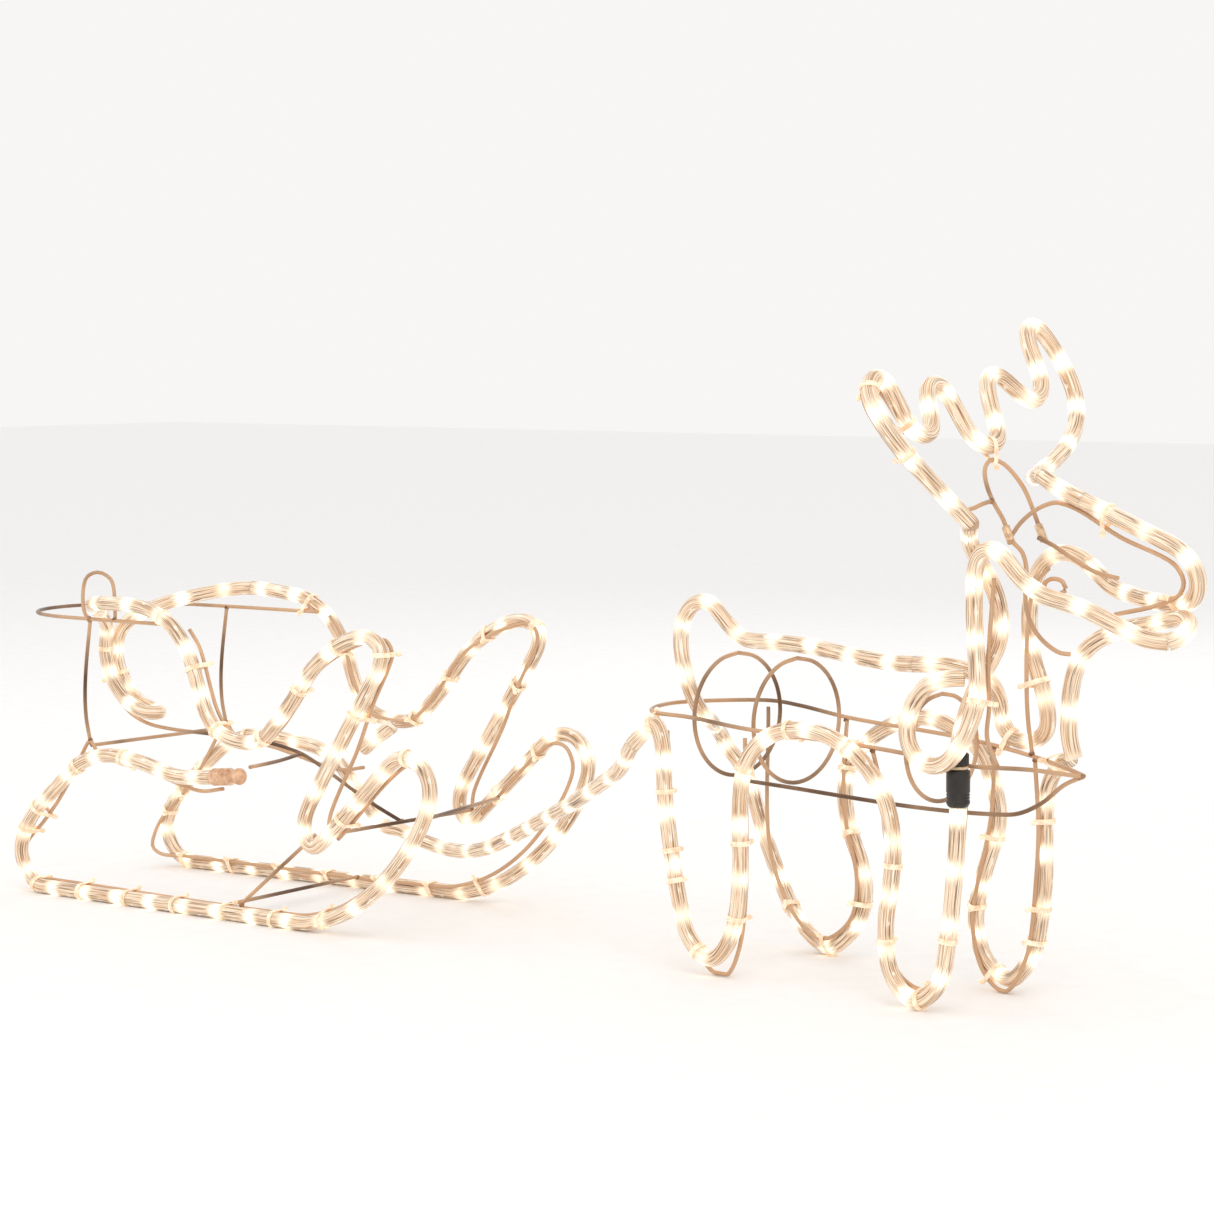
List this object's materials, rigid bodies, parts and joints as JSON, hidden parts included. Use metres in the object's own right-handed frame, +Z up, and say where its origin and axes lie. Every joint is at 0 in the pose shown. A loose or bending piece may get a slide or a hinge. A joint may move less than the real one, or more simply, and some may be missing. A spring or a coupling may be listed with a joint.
{
  "type": "light up yard reindeer",
  "caption": "Lawn figure of a reindeer pulling a sleigh, drawn in clear rope light clipped to a bent wire frame, with lift-out antlers.",
  "frame": {"origin": "bottom centre of the whole figure's box, on the ground under it", "axes": "+X runs along the sleigh towards the reindeer's nose, +Z is up, -Y is the side whose rope carries the black connector"},
  "size_m": [1.228, 0.2762, 0.5241],
  "materials": {
    "rope_light": "clear PVC rope with warm white lamps potted inside, lit",
    "frame_wire": "cream enamel on mild steel wire",
    "clip": "translucent moulded clip",
    "end_cap": "translucent amber moulding, ridged",
    "connector": "black moulded plastic",
    "seal": "beige sealing ring",
    "socket": "steel tube, cream enamel worn at the mouth"
  },
  "bodies": {
    "figure": {"back_hook_wire": "frame_wire", "back_scroll_rope": "rope_light", "base_cross_wire": "frame_wire", "brow_wire": "frame_wire", "cap_wire": "frame_wire", "cheek_wire": "frame_wire", "connector_body": "connector", "connector_seal": "seal", "eye_wire": "frame_wire", "far_antler_socket": "socket", "far_dash_rope": "rope_light", "far_dash_wire": "frame_wire", "far_front_leg_wire": "frame_wire", "far_leg_clip": "clip", "far_leg_rope": "rope_light", "far_neck_rope": "rope_light", "far_neck_wire": "frame_wire", "far_rear_leg_wire": "frame_wire", "far_runner_clip": "clip", "far_runner_rope": "rope_light", "far_runner_wire": "frame_wire", "far_upright_wire": "frame_wire", "floor_cross_wire": "frame_wire", "front_hoop_wire": "frame_wire", "head_rope": "rope_light", "jaw_wire": "frame_wire", "keel_wire": "frame_wire", "lead_cord": "rope_light", "middle_hoop_wire": "frame_wire", "muzzle_wire": "frame_wire", "near_antler_socket": "socket", "near_brace_wire": "frame_wire", "near_dash_rope": "rope_light", "near_dash_wire": "frame_wire", "near_front_leg_wire": "frame_wire", "near_jaw_rope": "rope_light", "near_leg_clip": "clip", "near_leg_rope": "rope_light", "near_neck_wire": "frame_wire", "near_rear_leg_wire": "frame_wire", "near_runner_clip": "clip", "near_runner_rope": "rope_light", "near_runner_wire": "frame_wire", "near_upright_wire": "frame_wire", "neck_feed_rope": "rope_light", "rail_wire": "frame_wire", "rear_hoop_wire": "frame_wire", "rim_hoop_wire": "frame_wire", "rope_end_cap": "end_cap", "seat_centre_wire": "frame_wire", "seat_cross_wire": "frame_wire", "seat_tail_rope": "rope_light", "shoulder_ring_rope": "rope_light", "spine_rope": "rope_light", "tail_cross_wire": "frame_wire", "throat_rope": "rope_light"},
    "antlers": {"antler_rope": "rope_light", "antler_prong_wire": "frame_wire", "antler_branch_wire": "frame_wire"},
    "nut": {"connector_nut": "connector"}
  },
  "joints": [
    {"name": "antler_lift", "type": "slide", "parent": "figure", "child": "antlers", "axis": [-0.4324, 0.0724, 0.8988], "range_m": [0, 0.01]},
    {"name": "nut_turn", "type": "hinge", "parent": "figure", "child": "nut", "pos_m": [0.42146, -0.06733, 0.195], "axis": [0, 0, 1], "range_deg": [0, 360]}
  ]
}
